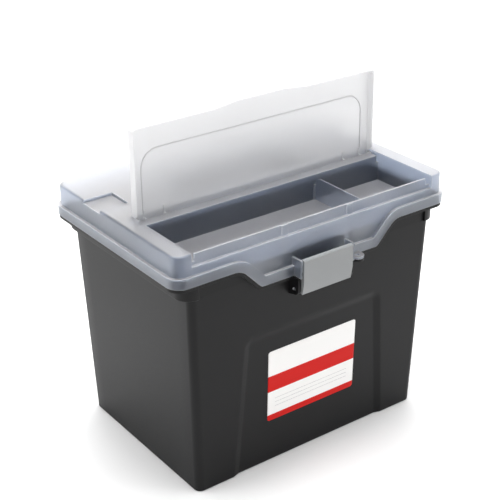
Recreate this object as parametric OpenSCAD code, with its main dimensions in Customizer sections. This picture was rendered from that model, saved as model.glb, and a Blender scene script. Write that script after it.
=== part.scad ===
// Portable file box: a moulded tub for letter-size hanging files under a hinged
// translucent lid. The front half of the lid is a tray with its own hinged cover,
// and the rear half carries a fold-down handle. One snap latch closes the front.
// Millimetres. Origin: centre of the base on the floor. X is the length, the
// front faces -Y, Z is up. The cover is drawn standing open.

/* [Tub] */
// Length of the base
base_l = 304.8; // [285:0.2:330]
// Depth of the base, front to back
base_w = 215.2; // [195:0.2:230]
// How far each wall leans out between the base and the hand step
wall_lean = 7.4; // [5:0.2:10]
// Height of the walls up to the hand step at the two ends
wall_h = 237; // [215:1:260]
// Thickness of the tub's walls
tub_t = 2.5; // [2:0.1:3.2]
// Thickness of the tub's floor
floor_t = 3; // [2.5:0.1:5]
// Radius of the tub's upright corners
corner_r = 15; // [12:0.5:20]
// Radius round the foot of the tub
foot_r = 1.6; // [1:0.2:3]
// How far the hand step stands out at each end
step_out = 8.2; // [7:0.2:12]
// Height of the hand step
step_h = 14; // [10:0.5:18]
// How far the rim flange stands out beyond the hand step at each end
flange_out = 11; // [9.6:0.2:13]
// How far the rim flange stands out at the front and back
flange_side = 5.2; // [4:0.1:6]
// Height of the rim flange
flange_h = 4; // [3:0.2:5]
// Height of the lip that rises inside the lid
lip_h = 7.5; // [5:0.5:7.5]
// Distance between the rails that hanging files hook over
rail_gap = 306; // [300:1:312]
// Height of the rails
rail_h = 6; // [4:0.5:8]

/* [Front dip] */
// How far the rim drops at the front, round the latch
dip = 25.6; // [20:0.2:30]
// Length of the dip along its bottom
dip_l = 153.6; // [140:0.2:160]
// Slope of the dip's two ends, in degrees
dip_slope = 46; // [38:1:50]
// Radius at the top of each slope
dip_crest_r = 21; // [14:1:24]
// Radius at the foot of each slope
dip_foot_r = 5; // [3:0.5:8]

/* [Front recess and label] */
// Length of the recessed front panel at the floor
recess_l = 211; // [190:1:230]
// Length of the recessed front panel at its top
recess_top_l = 184; // [160:1:190]
// Height of the recessed front panel
recess_h = 169; // [155:1:185]
// Depth of the recessed front panel
recess_d = 2.6; // [1.5:0.1:3.5]
// Width of the sloping border round the recessed front panel
recess_border = 8; // [5:0.5:10]
// Width of the label
label_l = 120; // [90:1:150]
// Height of the label
label_h = 88; // [60:1:110]
// Thickness of the label
label_t = 0.3; // [0.2:0.05:0.5]
// Height of the label's middle above the base
label_mid = 97; // [75:1:110]

/* [Lid] */
// How far the lid's rim stands out beyond the tub's flange
rim_over = 1; // [0.5:0.1:1.5]
// Height of the lid's rim band
band_h = 11; // [9.5:0.2:12]
// Height of the lid above the tub's flange
lid_h = 34; // [32:0.5:44]
// Thickness of the lid's walls
lid_t = 2.2; // [1.8:0.1:2.4]
// Set-back of the lid's wall above its rim
wall_set = 3.6; // [2.6:0.1:4]

/* [Tray in the lid] */
// Width of the flat frame between the tray and each end of the lid
frame_w = 19; // [17:0.5:28]
// Depth of the tray, front to back, inside
tray_w = 81; // [70:0.5:84]
// Depth of the tray below the cover
tray_d = 30; // [24:0.2:30]
// Thickness of the tray's walls and floor
tray_t = 2; // [1.6:0.1:2.4]
// Depth of the step that is cut in the lid's front wall below the cover
ledge_drop = 14.5; // [12:0.5:17]
// Width of that step, from the lid's front face back to the tray
ledge_w = 4; // [3.5:0.1:5]
// Distance of the divider from the middle of the tray
divider_x = 65.5; // [40:0.5:100]
// Thickness of the divider
divider_t = 1.8; // [1.4:0.1:2.4]

/* [Tray cover] */
// Thickness of the cover
cover_t = 2; // [1.6:0.1:2.4]
// Depth of the cover's front lip
cover_lip = 10; // [8:0.5:12]
// Depth of the cover's side skirts
cover_skirt = 10; // [7:0.5:10]
// How far the cover's front edge bulges out for a finger
bulge = 3.5; // [1:0.5:4]
// Length of the bulge at its full depth
bulge_l = 62; // [40:1:90]
// Radius of the cover's hinge stubs
stub_r = 2.4; // [2:0.1:2.8]
// Opening of the cover as drawn, in degrees
cover_open = 90; // [0:1:90]

/* [Latch] */
// Width of the latch
latch_l = 65; // [56:1:70]
// Height of the latch
latch_h = 39.8; // [38:0.2:44]
// Thickness of the latch's plate
latch_t = 2.5; // [2:0.1:3]
// Height of the latch's lower part, which bends inwards
bend_h = 14; // [11:0.5:17]
// Radius of the latch's pin
latch_pin_r = 1.9; // [1.5:0.1:2.2]
// Distance of the pin in front of the tub's wall
pin_out = 8.5; // [8:0.1:10]
// Distance of the pin below the rim's dip
pin_drop = 14.2; // [13:0.2:16]
// Distance of the latch's front face in front of its pin
plate_out = 10.2; // [9.5:0.1:12]
// Distance of the lock eyes from the middle of the box
eye_x = 44; // [43.5:0.5:56]
// Distance of the lock eyes in front of the lid's rim
eye_out = 6.1; // [5.5:0.1:7]
// Radius of the hole in the lock eyes
eye_hole_r = 2.4; // [1.8:0.1:3]

/* [Handle] */
// Length of the handle
handle_l = 178; // [150:1:190]
// Reach of the handle from its pivot to the middle of the grip
handle_reach = 58; // [50:1:62]
// Width of the handle's arms
arm_w = 11; // [9:0.5:13]
// Thickness of the handle's arms
arm_t = 9; // [7:0.5:9.5]
// Radius of the grip
grip_r = 6.2; // [5:0.2:6.4]
// Radius of the handle's pivot stubs
pivot_r = 3; // [2.5:0.1:3.5]

/* [Rear hinges] */
// Distance of each rear hinge from the middle of the box
hinge_x = 95; // [60:1:130]
// Length of the lid's knuckle in each rear hinge
knuckle_l = 21; // [16:1:30]
// Thickness of the tub's two lugs in each rear hinge
lug_t = 6; // [4:0.5:8]
// Radius of the rear hinge pins
hinge_pin_r = 2; // [1.6:0.1:2.2]

/* [Rear deck] */
// Distance of the finger recesses from the middle of the box
grip_x = 142; // [130:1:150]
// Length of the finger recess in each end of the rear deck
grip_l = 34; // [24:1:44]
// Distance of the finger recesses behind the middle of the box
grip_y = 23; // [19:1:40]
// Depth of the finger recesses
grip_d = 3.5; // [2:0.5:5]

/* [Hidden] */

$fn = 64;
hull_fn = 32;
eps = 0.01;
run_gap = 0.05;   // radial clearance of a stub or pin that turns in its bore
rest_gap = 0.05;  // hairline under the lid's rim, where it rests on the flange
side_gap = 0.5;   // clearance between moving parts, side to side
seat_gap = 1;     // clearance between the closed cover and what it covers
arc_steps = 8;

black = "#35353a";
frost = [0.80, 0.84, 0.90, 0.55];
grey = "#a4a6a8";
steel = "#c8c9cb";

// tub, worked out from the base upwards
lean_deg = atan(wall_lean / wall_h);
shelf_l = base_l + 2 * wall_lean;
shelf_w = base_w + 2 * wall_lean;
step_l = shelf_l + 2 * step_out;
step_r = 6;
flange_z = wall_h + step_h;
flange_l = step_l + 2 * flange_out;
flange_w = shelf_w + 2 * flange_side;
rim_z = flange_z + flange_h;
rail_z = wall_h + tub_t + rail_h;

// lid
lid_l = flange_l + 2 * rim_over;
lid_w = flange_w + 2 * rim_over;
lid_r = corner_r + rim_over;
lid_top = rim_z + lid_h;
wall_l = lid_l - 2 * wall_set;
wall_w = lid_w - 2 * wall_set;
edge_r = 2.5;
inside_l = lid_l - 2 * lid_t;
inside_w = lid_w - 2 * lid_t;
lip_gap = 0.6;
lip_l = inside_l - 2 * lip_gap;
lip_w = inside_w - 2 * lip_gap;
deck_t = lid_t + 0.2;

// tray, measured back from the lid's front face
tray_l = wall_l - 2 * frame_w;
front_y = -wall_w / 2;
strip_y = front_y + ledge_w;
tray_front = strip_y + tray_t;
tray_back = tray_front + tray_w;
seat_z = lid_top - cover_t - seat_gap;
tray_floor = seat_z - tray_d;
ledge_z = lid_top - ledge_drop;
divider_top = seat_z - 3.6;
divider_r = 8;
front_rib_x = [38.8, 46.3];
front_rib_t = 1.2;

// cover hinge
axis_drop = 6;
heel = 2;
hinge_y = tray_back + 15.2;
hinge_z = lid_top - axis_drop;
heel_sweep = norm([heel, axis_drop]);
trough_front = tray_back + 12.5;
trough_back = hinge_y + heel_sweep + 0.3;
trough_z = lid_top - cover_skirt - 1;
skirt_t = 1.8;
slot_w = skirt_t + 2 * side_gap + 0.4;
cover_corner_r = 5;
notch_w = cover_corner_r + 2 * side_gap;
cover_l = tray_l - 2 * side_gap;
stub_len = 6.4;
stub_boss = 2.4;

// latch and its catch, all from the front of the tub at the dip
dip_z = rim_z - dip;
wall_y = -(base_w / 2 + wall_lean * dip_z / wall_h);
pin_y = wall_y - pin_out;
pin_z = dip_z - pin_drop;
plate_y = pin_y - plate_out;
latch_foot = pin_z - 5.4;
latch_top = latch_foot + latch_h;
bend_z = latch_foot + bend_h;
hook_y = plate_y + 4.9;
hook_t = 3.6;
cheek_t = 3.5;
cheek_r = 4.6;
cheek_rise = 8;
lug_r = 6.4;
gusset_x = latch_l / 2 + 1.3;
gusset_t = 2;
lug_x = latch_l / 2 + 0.9;
eye_t = 2.5;
eye_r = 7;
eye_y = -lid_w / 2 - eye_out;

// handle
well_top_y = 3;
pivot_y = well_top_y + 11.6;
well_l = handle_l + 2 * 0.8;
well_w = handle_reach + grip_r + 19;
well_d = 16;
well_z = lid_top - well_d;
pivot_z = lid_top - 7;
pivot_boss = 2.6;

// rear hinges
pin_back_y = lid_w / 2 + 5;
pin_back_z = rim_z - 2;
knuckle_r = 4.2;
pin_len = knuckle_l + 2 * lug_t + 2 * side_gap;

// ---------- shared shapes ----------

// a flat plate with true round corners, standing on z
module slab(l, w, r, z, h) {
    translate([0, 0, z]) linear_extrude(h) {
        square([l - 2 * r, w], center = true);
        square([l, w - 2 * r], center = true);
        for (sx = [-1, 1], sy = [-1, 1]) {
            translate([sx * (l / 2 - r), sy * (w / 2 - r)]) circle(r);
        }
    }
}

// a block from one corner to the other
module block(a, b) {
    translate(a) cube(b - a);
}

// a profile drawn in Y and Z, extruded along X between two planes
module across(x0, x1) {
    translate([x0, 0, 0]) rotate([90, 0, 90]) linear_extrude(x1 - x0) children();
}

// a rod along X between two planes
module rod(x0, x1, y, z, r) {
    translate([x0, y, z]) rotate([0, 90, 0]) cylinder(r = r, h = x1 - x0);
}

// its children once on each side of the box
module both_sides() {
    children();
    mirror([1, 0, 0]) children();
}

function unit(v) = v / norm(v);

// points of an arc of radius r that rounds the corner b of the path a, b, c
function corner_arc(a, b, c, r) =
    let (u = unit(a - b), w = unit(c - b), half = acos(u * w) / 2)
    let (p = b + u * r / tan(half), q = b + w * r / tan(half))
    let (m = b + unit(u + w) * r / sin(half))
    let (a0 = atan2(p.y - m.y, p.x - m.x), a1 = atan2(q.y - m.y, q.x - m.x))
    let (turn = (a1 - a0 + 540) % 360 - 180)
    [for (i = [0 : arc_steps]) m + r * [cos(a0 + turn * i / arc_steps), sin(a0 + turn * i / arc_steps)]];

// the rim's line across the front in X and Z, moved out square to itself by s
function rim_line(s) =
    let (k = s * tan(dip_slope / 2), run = dip / tan(dip_slope))
    let (xf = dip_l / 2 - k, xc = dip_l / 2 + run - k, far = lid_l)
    let (hi = rim_z + s, lo = dip_z + s, foot_r = max(dip_foot_r - s, 1))
    concat([[-far, hi]],
        corner_arc([-far, hi], [-xc, hi], [-xf, lo], dip_crest_r + s),
        corner_arc([-xc, hi], [-xf, lo], [xf, lo], foot_r),
        corner_arc([-xf, lo], [xf, lo], [xc, hi], foot_r),
        corner_arc([xf, lo], [xc, hi], [far, hi], dip_crest_r + s),
        [[far, hi]]);

// everything above, or below, the rim's line moved by s: it dips at the front only
module above_rim(s) {
    top = lid_top + 100;
    translate([0, -lid_w / 4, 0]) rotate([90, 0, 0]) linear_extrude(lid_w) {
        polygon(concat(rim_line(s), [[lid_l, top], [-lid_l, top]]));
    }
    block([-lid_l, -lid_w / 4 - eps, rim_z + s], [lid_l, lid_w, top]);
}

module below_rim(s) {
    translate([0, -lid_w / 4, 0]) rotate([90, 0, 0]) linear_extrude(lid_w) {
        polygon(concat(rim_line(s), [[lid_l, -1], [-lid_l, -1]]));
    }
    block([-lid_l, -lid_w / 4 - eps, -1], [lid_l, lid_w, rim_z + s]);
}

// ---------- tub ----------

// the leaning body of the tub, drawn in by a wall's thickness for its hollow
module tub_body(inset, z0, z1, round_r) {
    hull($fn = hull_fn) {
        for (ring = [[0, 1], [0.3, 0.3], [1, 0]]) {
            z = z0 + round_r * ring[0];
            in = inset + round_r * ring[1] - wall_lean * z / wall_h;
            slab(base_l - 2 * in, base_w - 2 * in, corner_r - inset, z, eps, $fn = hull_fn);
        }
        in = inset - wall_lean * z1 / wall_h;
        slab(base_l - 2 * in, base_w - 2 * in, corner_r - inset, z1 - eps, eps, $fn = hull_fn);
    }
}

// the recess's outline, narrower at its top: grow widens it
function panel_points(grow) =
    let (below = 10, round_r = 12, k = (recess_l - recess_top_l) / 2 / recess_h)
    let (foot = recess_l / 2 + k * below + grow, head = recess_top_l / 2 + grow, top = recess_h + grow)
    concat([[-foot, -below]],
        corner_arc([-foot, -below], [-head, top], [head, top], round_r),
        corner_arc([-head, top], [head, top], [foot, -below], round_r),
        [[foot, -below]]);

// a panel that leans with the front wall: sink is how deep its face lies
module front_panel(grow, sink, depth) {
    translate([0, -base_w / 2, 0]) rotate([lean_deg, 0, 0]) translate([0, sink + depth, 0]) {
        rotate([90, 0, 0]) linear_extrude(depth) polygon(panel_points(grow));
    }
}

// the recess has a sloping border, so it is wider at the wall than at its bottom
module front_recess() {
    hull() {
        front_panel(2, -1, eps);
        front_panel(0, 0, eps);
        front_panel(-recess_border, recess_d, eps);
    }
}

module tub_hollow() {
    difference() {
        tub_body(tub_t, floor_t, wall_h + tub_t + 1, 3);
        front_panel(tub_t, 0, recess_d + tub_t);
    }
    slab(step_l - 2 * tub_t, shelf_w - 2 * tub_t, corner_r - tub_t, wall_h + tub_t, step_h + 40);
    intersection() {
        slab(lip_l - 2 * tub_t, lip_w - 2 * tub_t, corner_r - tub_t, dip_z - 10, dip + 60);
        above_rim(tub_t - flange_h);
    }
}

// the flange under the lid's rim, following the dip at the front
module rim_flange() {
    difference() {
        intersection() {
            slab(flange_l, flange_w, corner_r, dip_z - 20, dip + flange_h + 20);
            below_rim(0);
        }
        below_rim(-flange_h);
    }
}

// the step at each end that hands lift the box by, rounded underneath
module hand_step() {
    hull($fn = hull_fn) {
        for (a = [0 : 22.5 : 90]) {
            slab(step_l - 2 * step_r * (1 - sin(a)), shelf_w, corner_r,
                wall_h + step_r * (1 - cos(a)), eps, $fn = hull_fn);
        }
        slab(step_l, shelf_w, corner_r, flange_z + 1, eps, $fn = hull_fn);
    }
}

// the lip that rises inside the lid's rim all round
module rim_lip() {
    difference() {
        slab(lip_l, lip_w, corner_r, dip_z - 1, dip + lip_h + 1);
        below_rim(-1);
    }
}

// a rail along each end that the hooks of hanging files rest on
module file_rails() {
    side = shelf_w / 2 - tub_t;
    both_sides() {
        block([rail_gap / 2, -side, wall_h], [shelf_l / 2, side, wall_h + tub_t]);
        block([rail_gap / 2, -side, wall_h], [rail_gap / 2 + tub_t, side, rail_z]);
    }
}

module latch_lug() {
    across(lug_x, lug_x + cheek_t) {
        translate([pin_y, pin_z]) circle(lug_r);
        polygon([[wall_y + 1, dip_z - seat_gap], [pin_y - lug_r, dip_z - seat_gap], [pin_y - lug_r, pin_z],
            [pin_y, pin_z - lug_r], [wall_y + 1, pin_z - 9]]);
    }
}

// one lock eye: a round tab with a hole, on the flange or on the lid's rim
module lock_eye(z, back_y) {
    difference() {
        translate([0, 0, z]) linear_extrude(eye_t) {
            translate([eye_x, eye_y]) circle(eye_r);
            translate([eye_x - eye_r, eye_y]) square([2 * eye_r, back_y - eye_y]);
        }
        translate([eye_x, eye_y, z - 1]) cylinder(r = eye_hole_r, h = eye_t + 2);
    }
}

// two lugs of one rear hinge, with the pin's bore through both
module rear_lugs() {
    difference() {
        for (side = [-1, 1]) {
            mid = side * (knuckle_l / 2 + side_gap + lug_t / 2);
            across(mid - lug_t / 2, mid + lug_t / 2) {
                translate([pin_back_y, pin_back_z]) circle(knuckle_r);
                polygon([[shelf_w / 2 - 1, flange_z - 9], [pin_back_y + 3, pin_back_z - 3],
                    [pin_back_y, pin_back_z + 1.6], [shelf_w / 2 - 1, pin_back_z + 1.6]]);
            }
        }
        rod(-pin_len, pin_len, pin_back_y, pin_back_z, hinge_pin_r);
    }
}

module tub() {
    color(black) difference() {
        union() {
            difference() {
                union() {
                    tub_body(0, 0, wall_h + 1, foot_r);
                    hand_step();
                    rim_lip();
                    rim_flange();
                }
                tub_hollow();
                above_rim(lip_h);
                front_recess();
            }
            file_rails();
            both_sides() latch_lug();
            lock_eye(dip_z - side_gap - eye_t, wall_y + 1);
            for (side = [-1, 1]) {
                translate([side * hinge_x, 0, 0]) rear_lugs();
            }
        }
        rod(-lid_l / 4, lid_l / 4, pin_y, pin_z, latch_pin_r);
    }
}

// ---------- lid ----------

// the lid's wall and roof, or its hollow when drawn in: upright walls and a rounded edge
module lid_dome(inset, roof) {
    l = wall_l - 2 * inset;
    w = wall_w - 2 * inset;
    r = lid_r - wall_set - inset;
    e = edge_r;
    slab(l, w, r, dip_z - 10, roof - e - dip_z + 10);
    translate([0, 0, roof - e]) {
        slab(l - 2 * e, w - 2 * e, r - e, 0, e);
        for (side = [-1, 1]) {
            translate([side * (l / 2 - e), 0, 0]) rotate([90, 0, 0]) cylinder(r = e, h = w - 2 * r, center = true);
            translate([0, side * (w / 2 - e), 0]) rotate([0, 90, 0]) cylinder(r = e, h = l - 2 * r, center = true);
        }
        for (sx = [-1, 1], sy = [-1, 1]) {
            translate([sx * (l / 2 - r), sy * (w / 2 - r), 0]) round_corner(r, e);
        }
    }
}

// a quarter of a ring whose edge is rounded by e, whole so that it can be turned as one
module round_corner(r, e) {
    rotate_extrude() intersection() {
        union() {
            translate([r - e, 0]) circle(e);
            square([r - e, e]);
        }
        square([r, e]);
    }
}

module lid_shell() {
    difference() {
        union() {
            difference() {
                slab(lid_l, lid_w, lid_r, dip_z, dip + band_h);
                above_rim(band_h);
            }
            difference() {
                lid_dome(0, lid_top);
                below_rim(band_h - lid_t);
            }
        }
        below_rim(rest_gap);
        intersection() {
            slab(inside_l, inside_w, lid_r - lid_t, dip_z - 1, dip + band_h);
            below_rim(band_h - lid_t);
        }
        lid_dome(lid_t, lid_top - deck_t);
    }
}

// the outside of the tray, the cover's trough, the handle's well and the end pads
module lid_insides() {
    out_x = tray_l / 2 + tray_t;
    roof = lid_top - 1;
    block([-out_x, strip_y, tray_floor - tray_t], [out_x, tray_back + tray_t, roof]);
    block([-out_x, front_y + 1, ledge_z - lid_t], [out_x, strip_y + 1, roof]);
    block([-out_x, tray_back, seat_z - tray_t], [out_x, trough_back + tray_t, roof]);
    block([-out_x, trough_front - tray_t, trough_z - tray_t], [out_x, trough_back + tray_t, roof]);
    translate([0, well_top_y + well_w / 2, 0]) {
        slab(well_l + 2 * tray_t, well_w + 2 * tray_t, 10, well_z - tray_t, well_d);
    }
    both_sides() {
        block([tray_l / 2 - slot_w - tray_t, tray_back, trough_z - tray_t], [out_x, trough_front, roof]);
        block([grip_x - tray_t, grip_y - tray_t, lid_top - deck_t - grip_d],
            [wall_l / 2 - 1, grip_y + grip_l + tray_t, roof]);
        rod(tray_l / 2, tray_l / 2 + stub_len + 2, hinge_y, hinge_z, stub_r + stub_boss);
        rod(well_l / 2, well_l / 2 + stub_len + 2, pivot_y, pivot_z, pivot_r + pivot_boss);
    }
}

module lid_cuts() {
    sky = lid_top + 1;
    block([-tray_l / 2, tray_front, tray_floor], [tray_l / 2, tray_back, sky]);
    block([-tray_l / 2, front_y - 20, ledge_z], [tray_l / 2, strip_y, sky]);
    block([-tray_l / 2, strip_y - 1, seat_z], [tray_l / 2, trough_back, sky]);
    block([-tray_l / 2, trough_front, trough_z], [tray_l / 2, trough_back, sky]);
    translate([0, well_top_y + well_w / 2, 0]) slab(well_l, well_w, 8, well_z, well_d + 1);
    both_sides() {
        block([tray_l / 2 - slot_w, tray_back - 1, trough_z], [tray_l / 2, trough_front + 1, sky]);
        block([tray_l / 2 - notch_w, strip_y - 1, trough_z], [tray_l / 2, tray_front + 1, sky]);
        block([grip_x, grip_y, lid_top - grip_d], [lid_l, grip_y + grip_l, sky]);
        rod(tray_l / 2 - 1, tray_l / 2 + stub_len, hinge_y, hinge_z, stub_r + run_gap);
        rod(well_l / 2 - 1, well_l / 2 + stub_len, pivot_y, pivot_z, pivot_r + run_gap);
    }
}

// upright ribs beside the latch, behind the front wall and on the strip above it
module front_ribs() {
    both_sides() {
        block([front_rib_x[0], -wall_w / 2 + 1, dip_z + band_h - 1], [front_rib_x[1], strip_y + eps, ledge_z - 1]);
        block([front_rib_x[0], strip_y - front_rib_t, ledge_z - 1], [front_rib_x[1], strip_y + 1, seat_z]);
    }
}

// the catch that the latch closes on: two gussets and a bar between them
module catch() {
    band_y = -inside_w / 2 - 1;
    both_sides() {
        block([gusset_x, plate_y + 1.4, dip_z + rest_gap], [gusset_x + gusset_t, band_y, latch_top]);
        block([gusset_x, band_y - 0.5, dip_z + lip_h + 1], [gusset_x + gusset_t, -wall_w / 2 + 1, latch_top]);
    }
    block([-gusset_x - eps, hook_y + side_gap, latch_top - hook_t - 4],
        [gusset_x + eps, hook_y + side_gap + 3.4, latch_top - hook_t - side_gap]);
}

// the divider stands between two pairs of small ribs
module divider_guides() {
    for (side = [-1, 1], y = [tray_front, tray_back - 1.6]) {
        x = divider_x + side * (divider_t / 2 + 0.2 + 0.8);
        block([x - 0.8, y - eps, tray_floor - eps], [x + 0.8, y + 1.6 + eps, divider_top - divider_r]);
    }
}

// the knuckle of one rear hinge on the lid
module lid_knuckle() {
    difference() {
        across(-knuckle_l / 2, knuckle_l / 2) {
            translate([pin_back_y, pin_back_z]) circle(knuckle_r);
            polygon([[lid_w / 2 - 1, rim_z + 0.4], [pin_back_y - 3, rim_z + 0.4], [pin_back_y, pin_back_z],
                [pin_back_y + 2, pin_back_z + 3.6], [lid_w / 2 - 1, rim_z + band_h - 2]]);
        }
        rod(-pin_len, pin_len, pin_back_y, pin_back_z, hinge_pin_r + run_gap);
    }
}

module lid() {
    color(frost) union() {
        difference() {
            union() {
                lid_shell();
                lid_insides();
            }
            lid_cuts();
        }
        front_ribs();
        catch();
        divider_guides();
        lock_eye(dip_z, -inside_w / 2);
        for (side = [-1, 1]) {
            translate([side * hinge_x, 0, 0]) lid_knuckle();
        }
    }
}

// ---------- tray divider ----------

// a drop-in plate, its two upper corners rounded
module tray_divider() {
    y0 = tray_front + 0.3;
    y1 = tray_back - 0.3;
    r = divider_r;
    color(frost) across(divider_x - divider_t / 2, divider_x + divider_t / 2) {
        translate([y0, tray_floor]) square([y1 - y0, divider_top - r - tray_floor]);
        translate([y0 + r, tray_floor]) square([y1 - y0 - 2 * r, divider_top - tray_floor]);
        translate([y0 + r, divider_top - r]) circle(r);
        translate([y1 - r, divider_top - r]) circle(r);
    }
}

// ---------- tray cover ----------

// the cover's plan, with its hinge axis on y = 0: rounded front corners and a bulge
function cover_points(half, front, back) =
    let (r = cover_corner_r, run = 30)
    concat([[-half, back]],
        corner_arc([-half, back], [-half, front], [0, front], r),
        [[-bulge_l / 2 - run, front], [-bulge_l / 2, front - bulge], [bulge_l / 2, front - bulge],
            [bulge_l / 2 + run, front]],
        corner_arc([0, front], [half, front], [half, back], r),
        [[half, back]]);

// the outline of the shallow panel sunk in the cover's inner face
function sunk_points(half, front) =
    let (side = half - 12, edge = front + 27.5, r = 20)
    concat([[-side, heel + 1]],
        corner_arc([-side, heel], [-side, edge], [0, edge], r),
        corner_arc([0, edge], [side, edge], [side, heel], r),
        [[side, heel + 1]]);

// the cover closed, with its hinge axis at the origin and its front towards -Y
module cover_closed() {
    top = axis_drop;
    half = cover_l / 2;
    front = front_y - hinge_y + 0.3;
    seat = top - cover_t - seat_gap + 0.2;
    difference() {
        translate([0, 0, top - cover_t]) linear_extrude(cover_t) polygon(cover_points(half, front, heel));
        translate([0, 0, top - cover_t - 1]) linear_extrude(1.4) polygon(sunk_points(half, front));
    }
    translate([0, 0, top - cover_lip]) linear_extrude(cover_lip) difference() {
        polygon(cover_points(half, front, front + 12));
        translate([0, skirt_t]) polygon(cover_points(half - skirt_t, front, front + 20));
    }
    both_sides() {
        across(half - skirt_t, half) {
            polygon([[front + 8, top - cover_skirt], [-9.5, top - cover_skirt], [-3.5, 2], [-3.5, 0],
                [heel, 0], [heel, top], [front + 8, top]]);
            circle(4);
        }
        rod(half - 4, tray_l / 2 + stub_len - 0.4, 0, 0, stub_r);
        for (x = [half - 13, half - 37]) {
            across(x - 0.8, x + 0.8) {
                polygon([[heel, top - 0.5], [-9.5, top - 0.5], [-9.5, seat], [-2.2, seat],
                    [-0.8, -heel], [heel, 0]]);
            }
        }
    }
}

module tray_cover() {
    color(frost) translate([0, hinge_y, hinge_z]) rotate([-cover_open, 0, 0]) cover_closed();
}

// ---------- latch ----------

module latch() {
    t = latch_t;
    color(grey) difference() {
        union() {
            across(-latch_l / 2, latch_l / 2) {
                polygon([[plate_y, latch_top - 1.2], [plate_y, bend_z], [plate_y + 2.7, latch_foot],
                    [plate_y + 2.7 + t, latch_foot + 0.6], [plate_y + t, bend_z + 0.6],
                    [plate_y + t, latch_top - hook_t], [hook_y, latch_top - hook_t],
                    [hook_y, latch_top - 0.6], [hook_y - 0.6, latch_top], [plate_y + 1.2, latch_top]]);
            }
            both_sides() across(latch_l / 2 - cheek_t, latch_l / 2) {
                translate([pin_y, pin_z]) circle(cheek_r);
                polygon([[plate_y + t - 0.2, bend_z + cheek_rise], [plate_y + 1, bend_z], [plate_y + 3.2, latch_foot + 1],
                    [pin_y, pin_z - cheek_r], [pin_y + 4, pin_z + 2]]);
            }
        }
        rod(-latch_l, latch_l, pin_y, pin_z, latch_pin_r + run_gap);
    }
}

module latch_pin() {
    end = lug_x + cheek_t + 0.5;
    color(steel) rod(-end, end, pin_y, pin_z, latch_pin_r);
}

// ---------- handle ----------

module carrying_handle() {
    half = handle_l / 2;
    far = pivot_y + handle_reach;
    r = 10;
    color(grey) union() {
        both_sides() {
            block([half - arm_w, pivot_y, pivot_z - arm_t / 2], [half, far - 4, pivot_z + arm_t / 2]);
            rod(half - arm_w, half, pivot_y, pivot_z, arm_t / 2);
            rod(half - 1, well_l / 2 + stub_len - 0.4, pivot_y, pivot_z, pivot_r);
            translate([half - r, far - 4, pivot_z - arm_t / 2]) cylinder(r = r, h = arm_t);
        }
        block([-half + r, far - 4, pivot_z - arm_t / 2], [half - r, far + grip_r - 0.2, pivot_z + arm_t / 2]);
        rod(-half + arm_w + 3, half - arm_w - 3, far, pivot_z, grip_r);
    }
}

// ---------- rear hinge pins ----------

module hinge_pin(x) {
    color(steel) rod(x - pin_len / 2, x + pin_len / 2, pin_back_y, pin_back_z, hinge_pin_r);
}

module hinge_pin_left() {
    hinge_pin(-hinge_x);
}

module hinge_pin_right() {
    hinge_pin(hinge_x);
}

// ---------- label ----------

module label() {
    r = 3;
    color("white") translate([0, -base_w / 2, 0]) rotate([lean_deg, 0, 0]) {
        translate([0, recess_d, label_mid]) rotate([90, 0, 0]) slab(label_l, label_h, r, 0, label_t);
    }
}

tub();
lid();
tray_divider();
tray_cover();
latch();
latch_pin();
carrying_handle();
hinge_pin_left();
hinge_pin_right();
label();
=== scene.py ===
"""Portable file box, dressed for the studio.

A black moulded tub under a frosted lid with a covered tray, a snap latch and a
fold-down handle. Every length below is in metres unless its name ends in _mm.
"""

import logging
import math
from dataclasses import dataclass
from enum import Enum

import bmesh
import bpy
import numpy as np
from mathutils import Matrix, Vector


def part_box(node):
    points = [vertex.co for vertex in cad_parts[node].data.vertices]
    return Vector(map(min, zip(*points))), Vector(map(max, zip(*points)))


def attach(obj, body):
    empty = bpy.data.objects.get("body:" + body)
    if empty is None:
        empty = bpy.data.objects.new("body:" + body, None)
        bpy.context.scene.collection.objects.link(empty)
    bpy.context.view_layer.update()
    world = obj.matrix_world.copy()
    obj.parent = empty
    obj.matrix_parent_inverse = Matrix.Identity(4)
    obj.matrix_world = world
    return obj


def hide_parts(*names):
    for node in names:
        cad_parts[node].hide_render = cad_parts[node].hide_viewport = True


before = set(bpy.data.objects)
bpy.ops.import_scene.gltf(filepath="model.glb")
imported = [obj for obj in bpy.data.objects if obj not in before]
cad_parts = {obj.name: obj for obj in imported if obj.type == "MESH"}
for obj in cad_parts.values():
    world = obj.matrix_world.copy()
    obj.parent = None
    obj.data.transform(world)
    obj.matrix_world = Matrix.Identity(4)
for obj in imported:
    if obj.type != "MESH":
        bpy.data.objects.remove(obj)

LOG = logging.getLogger("file_box")
MM = 0.001
POLYPROPYLENE_IOR = 1.49
WELD = 2e-6
SAME_POINT = 1e-7
FLAT_DEG = 0.2
GRID_CREASE_DEG = 40.0


# ---------- colour and nodes ----------


def linear(hex_code: str) -> tuple[float, float, float, float]:
    """Turns an sRGB hex code into Blender's linear colour.

    Args:
        hex_code: six hex digits after a hash sign.

    Returns:
        Red, green, blue and an alpha of 1.
    """
    srgb = np.array([int(hex_code[i : i + 2], 16) for i in (1, 3, 5)]) / 255.0
    light = np.where(srgb <= 0.04045, srgb / 12.92, ((srgb + 0.055) / 1.055) ** 2.4)
    return (*(float(c) for c in light), 1.0)


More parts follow.
